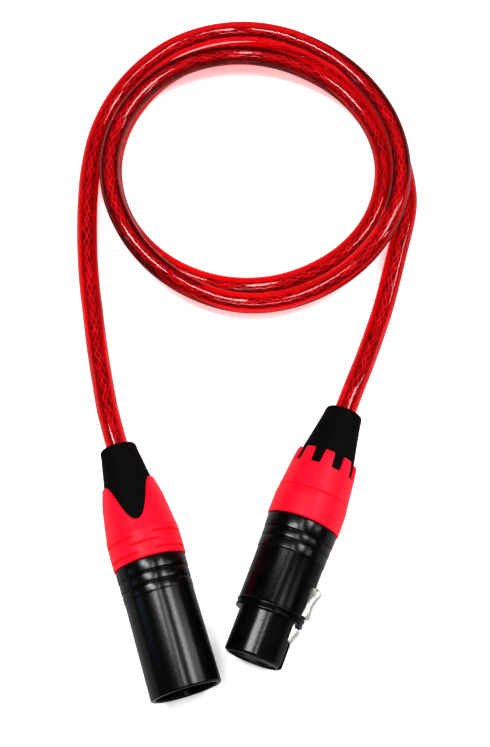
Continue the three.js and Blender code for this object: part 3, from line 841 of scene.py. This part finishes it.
def add_female_shell(matrix, key, materials):
    """The barrel and nose, with a keyway in the nose and the latch's slots in line with it."""
    edge, neck_end = FEMALE_COLLAR_EDGE, FEMALE_NECK_END
    outline = [
        (7.3, NOSE_FRONT), (7.93, NOSE_FRONT + 0.55), (7.93, NOSE_SHOULDER), (9.35, NOSE_SHOULDER),
        (9.35, 14.1), (9.05, 14.3), (9.05, 14.6), (9.45, 14.8), (9.45, 15.5), (9.25, 15.7),
        (9.3, edge - 9.4), (9.5, edge - 9.1), (9.5, edge - 6.8), (9.15, edge - 6.6),
        (9.15, edge - 6.3), (9.55, edge - 6.1), (9.6, edge - 4.2), (9.25, edge - 4.0),
        (9.25, edge - 3.7), (9.7, edge - 3.5), (9.85, edge), (NECK_RADIUS, edge),
        (NECK_RADIUS, neck_end), (6.0, neck_end), (6.0, 22), (6.6, 22), (6.6, NOSE_FRONT),
    ]
    points, faces = turned_mesh(eased(outline, CAST_EDGE, 3))
    shell = build("female_shell_cover", points, faces, materials["shell"])
    combine(shell, [
        radial_box(key, 2.8, (-1, NOSE_SHOULDER), (7.0, 9)),
        radial_box(key, 4.8, (8.3, 25), (5, 8.6)),
        radial_wedge(key, (2.85, 1.55), (15.6, 24.8), (5, 12)),
        radial_box(key, 4.8, (24.9, 28.4), (5, 8.5)),
    ], "DIFFERENCE")
    shade(shell.data, SHARP_ANGLE)
    shell.data.materials.append(materials["barrel"])
    satin_from, satin_to = SATIN_BARREL
    for face in shell.data.polygons:
        face.material_index = int(satin_from * MM < face.center.y < satin_to * MM)
    fit(shell, matrix, "root", "shell", "female_shell")


def add_sockets(matrix, key, materials):
    """Sprung sleeves that take the pins, with their solder cups."""
    front, web, cup, end = NOSE_FRONT + 1.2, 15.0, 21.5, 26.5
    outline = [
        (0.0, web), (1.25, web), (1.25, front + 0.3), (1.35, front), (1.5, front), (1.5, end),
        (1.0, end), (1.0, cup), (0.0, cup),
    ]
    add_contacts("female_socket", outline, key, matrix, materials["contacts"])


def add_latch(matrix, key, material):
    """A chromed lever: hook, arm and a ribbed thumb tab that narrows towards its rear."""
    pivot, reach = LATCH_PIVOT
    arm = [
        (8.6, 7.0), (pivot, reach - 0.7), (pivot + 0.7, reach - 0.6), (pivot + 0.95, reach),
        (pivot + 0.6, reach + 0.6), (pivot, reach + 0.85), (24, 8.0), (12.4, 7.9), (12.4, 9.0),
        (12.0, 9.0), (8.6, 7.7),
    ]
    front, rear = LATCH_TAB_RANGE
    tab = [
        (front, 7.6), (rear, 7.6), (rear, 10.2), (24.1, 10.9), (23.5, 11.2), (22.8, 11.2),
        (22.5, 10.95), (22.2, 10.9), (21.9, 10.6), (21.4, 10.55), (21.1, 10.3), (20.6, 10.3),
        (20.3, 10.1), (19.8, 10.2), (19.5, 10.0), (18.9, 10.15), (18.6, 10.0), (18.0, 10.15),
        (16.6, 10.1), (front, 9.7),
    ]
    thumb = build("thumb", *radial_plate(key, 6.0, tab), material)
    taper = radial_wedge(key, LATCH_TAB_HALF_WIDTHS, LATCH_TAB_RANGE, (5, 14))
    combine(thumb, [taper], "INTERSECT")
    latch = build("female_latch_chrome", *radial_plate(key, LATCH_ARM_WIDTH, arm), material)
    unite_or_cut(latch, [thumb], "UNION")
    soften(latch, 0.16)
    fit(latch, matrix, "latch", "latch", "female_latch")


def female_edge(angle):
    """The collar's rear edge: nine rounded teeth."""
    valley, tooth_height = 55.6, 4.4
    wave = np.cos(FEMALE_TEETH * (angle - math.radians(FIRST_TOOTH)))
    ramp = np.clip(0.52 + 2.2 * wave, 0, 1)
    return valley + tooth_height * ramp * ramp * (3 - 2 * ramp)


def add_female_backshell(matrix, materials):
    """The plain ring, the toothed collar behind it, and the boot between the teeth."""
    front, seam = FEMALE_RING
    ring = eased([
        (9.95, front), (10.15, 40.1), (10.15, 46.0), (9.95, seam), (8.3, seam), (8.3, front)], 0.2)
    fit(build("female_ring_cover", *turned_mesh(ring), materials["red_plastic"]),
        matrix, "root", "red_plastic", "female_colour_ring")
    cone = along([
        (9.93, 48.2), (9.62, 50.8), (9.2, 55.1), (9.0, 57.2), (8.65, 59.4), (8.2, 60.8)])
    inner = along([(8.3, 48.2), (8.3, 49.1), (9.15, 50.7), (8.6, 55.2), (7.65, 60.7)])
    collar = crown_sleeve("female_collar_cover", {
        "columns": 360, "edge": female_edge, "edge_radius": 9.0, "lower": FEMALE_COLLAR_FRONT,
        "level": 54.4, "level_rows": 12, "rise_rows": 16, "ease": 0.22,
        "inner": inner, "outer": lambda angle, y: cone(y),
    }, materials["red_plastic"])
    fit(collar, matrix, "female_backshell", "red_plastic", "female_collar")
    add_boot("female_boot_cover", [
        (7.9, 49.3), (8.9, 50.7), (8.5, 55.1), (7.4, 61.2), (7.0, 63.4), (6.2, 67.7),
        (5.5, 71.9), (5.2, 74.4),
    ], 62.6, matrix, "female_backshell", materials["boot"])


# ---------------------------------------------------------------- assembly

def dress_frame(materials):
    """The CAD pieces that stay get the finish of their slot."""
    slots = {part["node"]: part["material_slot"] for part in frame["record"]["subparts"]}
    for name, node in frame["nodes"].items():
        node.data.materials.clear()
        node.data.materials.append(materials[slots[name]])


def add_floor():
    """A plain sheet, far wider than the cable."""
    bpy.ops.mesh.primitive_grid_add(x_subdivisions=8, y_subdivisions=8, size=6.0)
    floor = bpy.context.object
    floor.name = "floor"
    floor.data.materials.append(floor_material())


add_camera()
add_lights()
add_floor()
finishes = make_materials()
dress_frame(finishes)
add_cable(finishes)

male = connector_frame("male_collar_unscrew", "male_mouth_rim", 0.0)
add_male_shell(male, finishes["shell"])
add_pins(male, finishes)
add_male_backshell(male, finishes)

female = connector_frame("female_collar_unscrew", "female_nose_rim", NOSE_FRONT)
female_key = key_angle_from(female, "latch_press")
add_female_shell(female, female_key, finishes)
add_sockets(female, female_key, finishes)
add_latch(female, female_key, finishes["latch"])
add_female_backshell(female, finishes)
